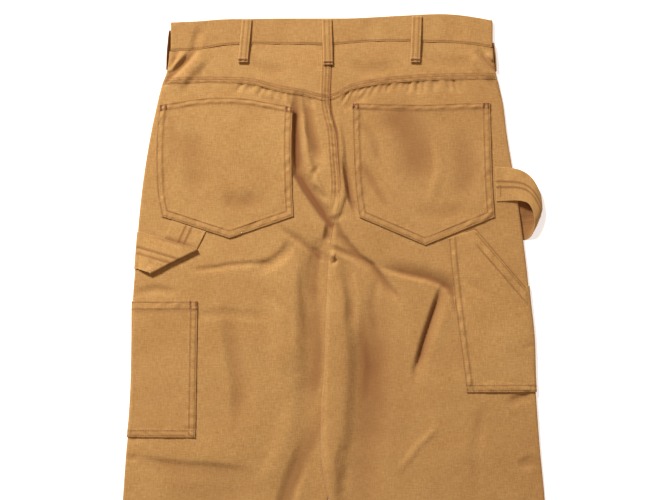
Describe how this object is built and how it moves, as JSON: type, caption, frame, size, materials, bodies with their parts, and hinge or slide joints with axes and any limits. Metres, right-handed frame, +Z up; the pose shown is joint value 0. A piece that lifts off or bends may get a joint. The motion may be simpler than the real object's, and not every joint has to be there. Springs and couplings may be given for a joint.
{
  "type": "work pants",
  "caption": "Duck canvas work pants laid flat with the back up: yoked seat, pointed back pockets, tool pockets round the sides, hammer loops and belt loops",
  "frame": {"origin": "middle of the underside, on the surface that the pants lie on", "axes": "+X to the right as seen from above, +Y along the pants towards the waist, +Z up out of the surface through the back"},
  "size_m": [0.626, 1.1206, 0.0147],
  "materials": {
    "duck": "dry plain-woven cotton duck, piece dyed a warm brown, matt with a faint nap",
    "zip": "woven cotton tape with a closed row of brass teeth",
    "button": "pressed brass, aged and satin"
  },
  "bodies": {
    "root": {"waistband": "duck", "yoke_left": "duck", "yoke_right": "duck", "back_left": "duck", "back_right": "duck", "front_left": "duck", "front_right": "duck", "back_pocket_left": "duck", "back_pocket_right": "duck", "tool_pocket_left": "duck", "tool_pocket_right": "duck", "hammer_loop_left": "duck", "hammer_loop_right": "duck", "belt_loop_back_left": "duck", "belt_loop_back_centre": "duck", "belt_loop_back_right": "duck", "belt_loop_side_left": "duck", "belt_loop_side_right": "duck", "belt_loop_front_left": "duck", "belt_loop_front_right": "duck", "fly_zip": "zip", "waist_button": "button"}
  },
  "joints": []
}
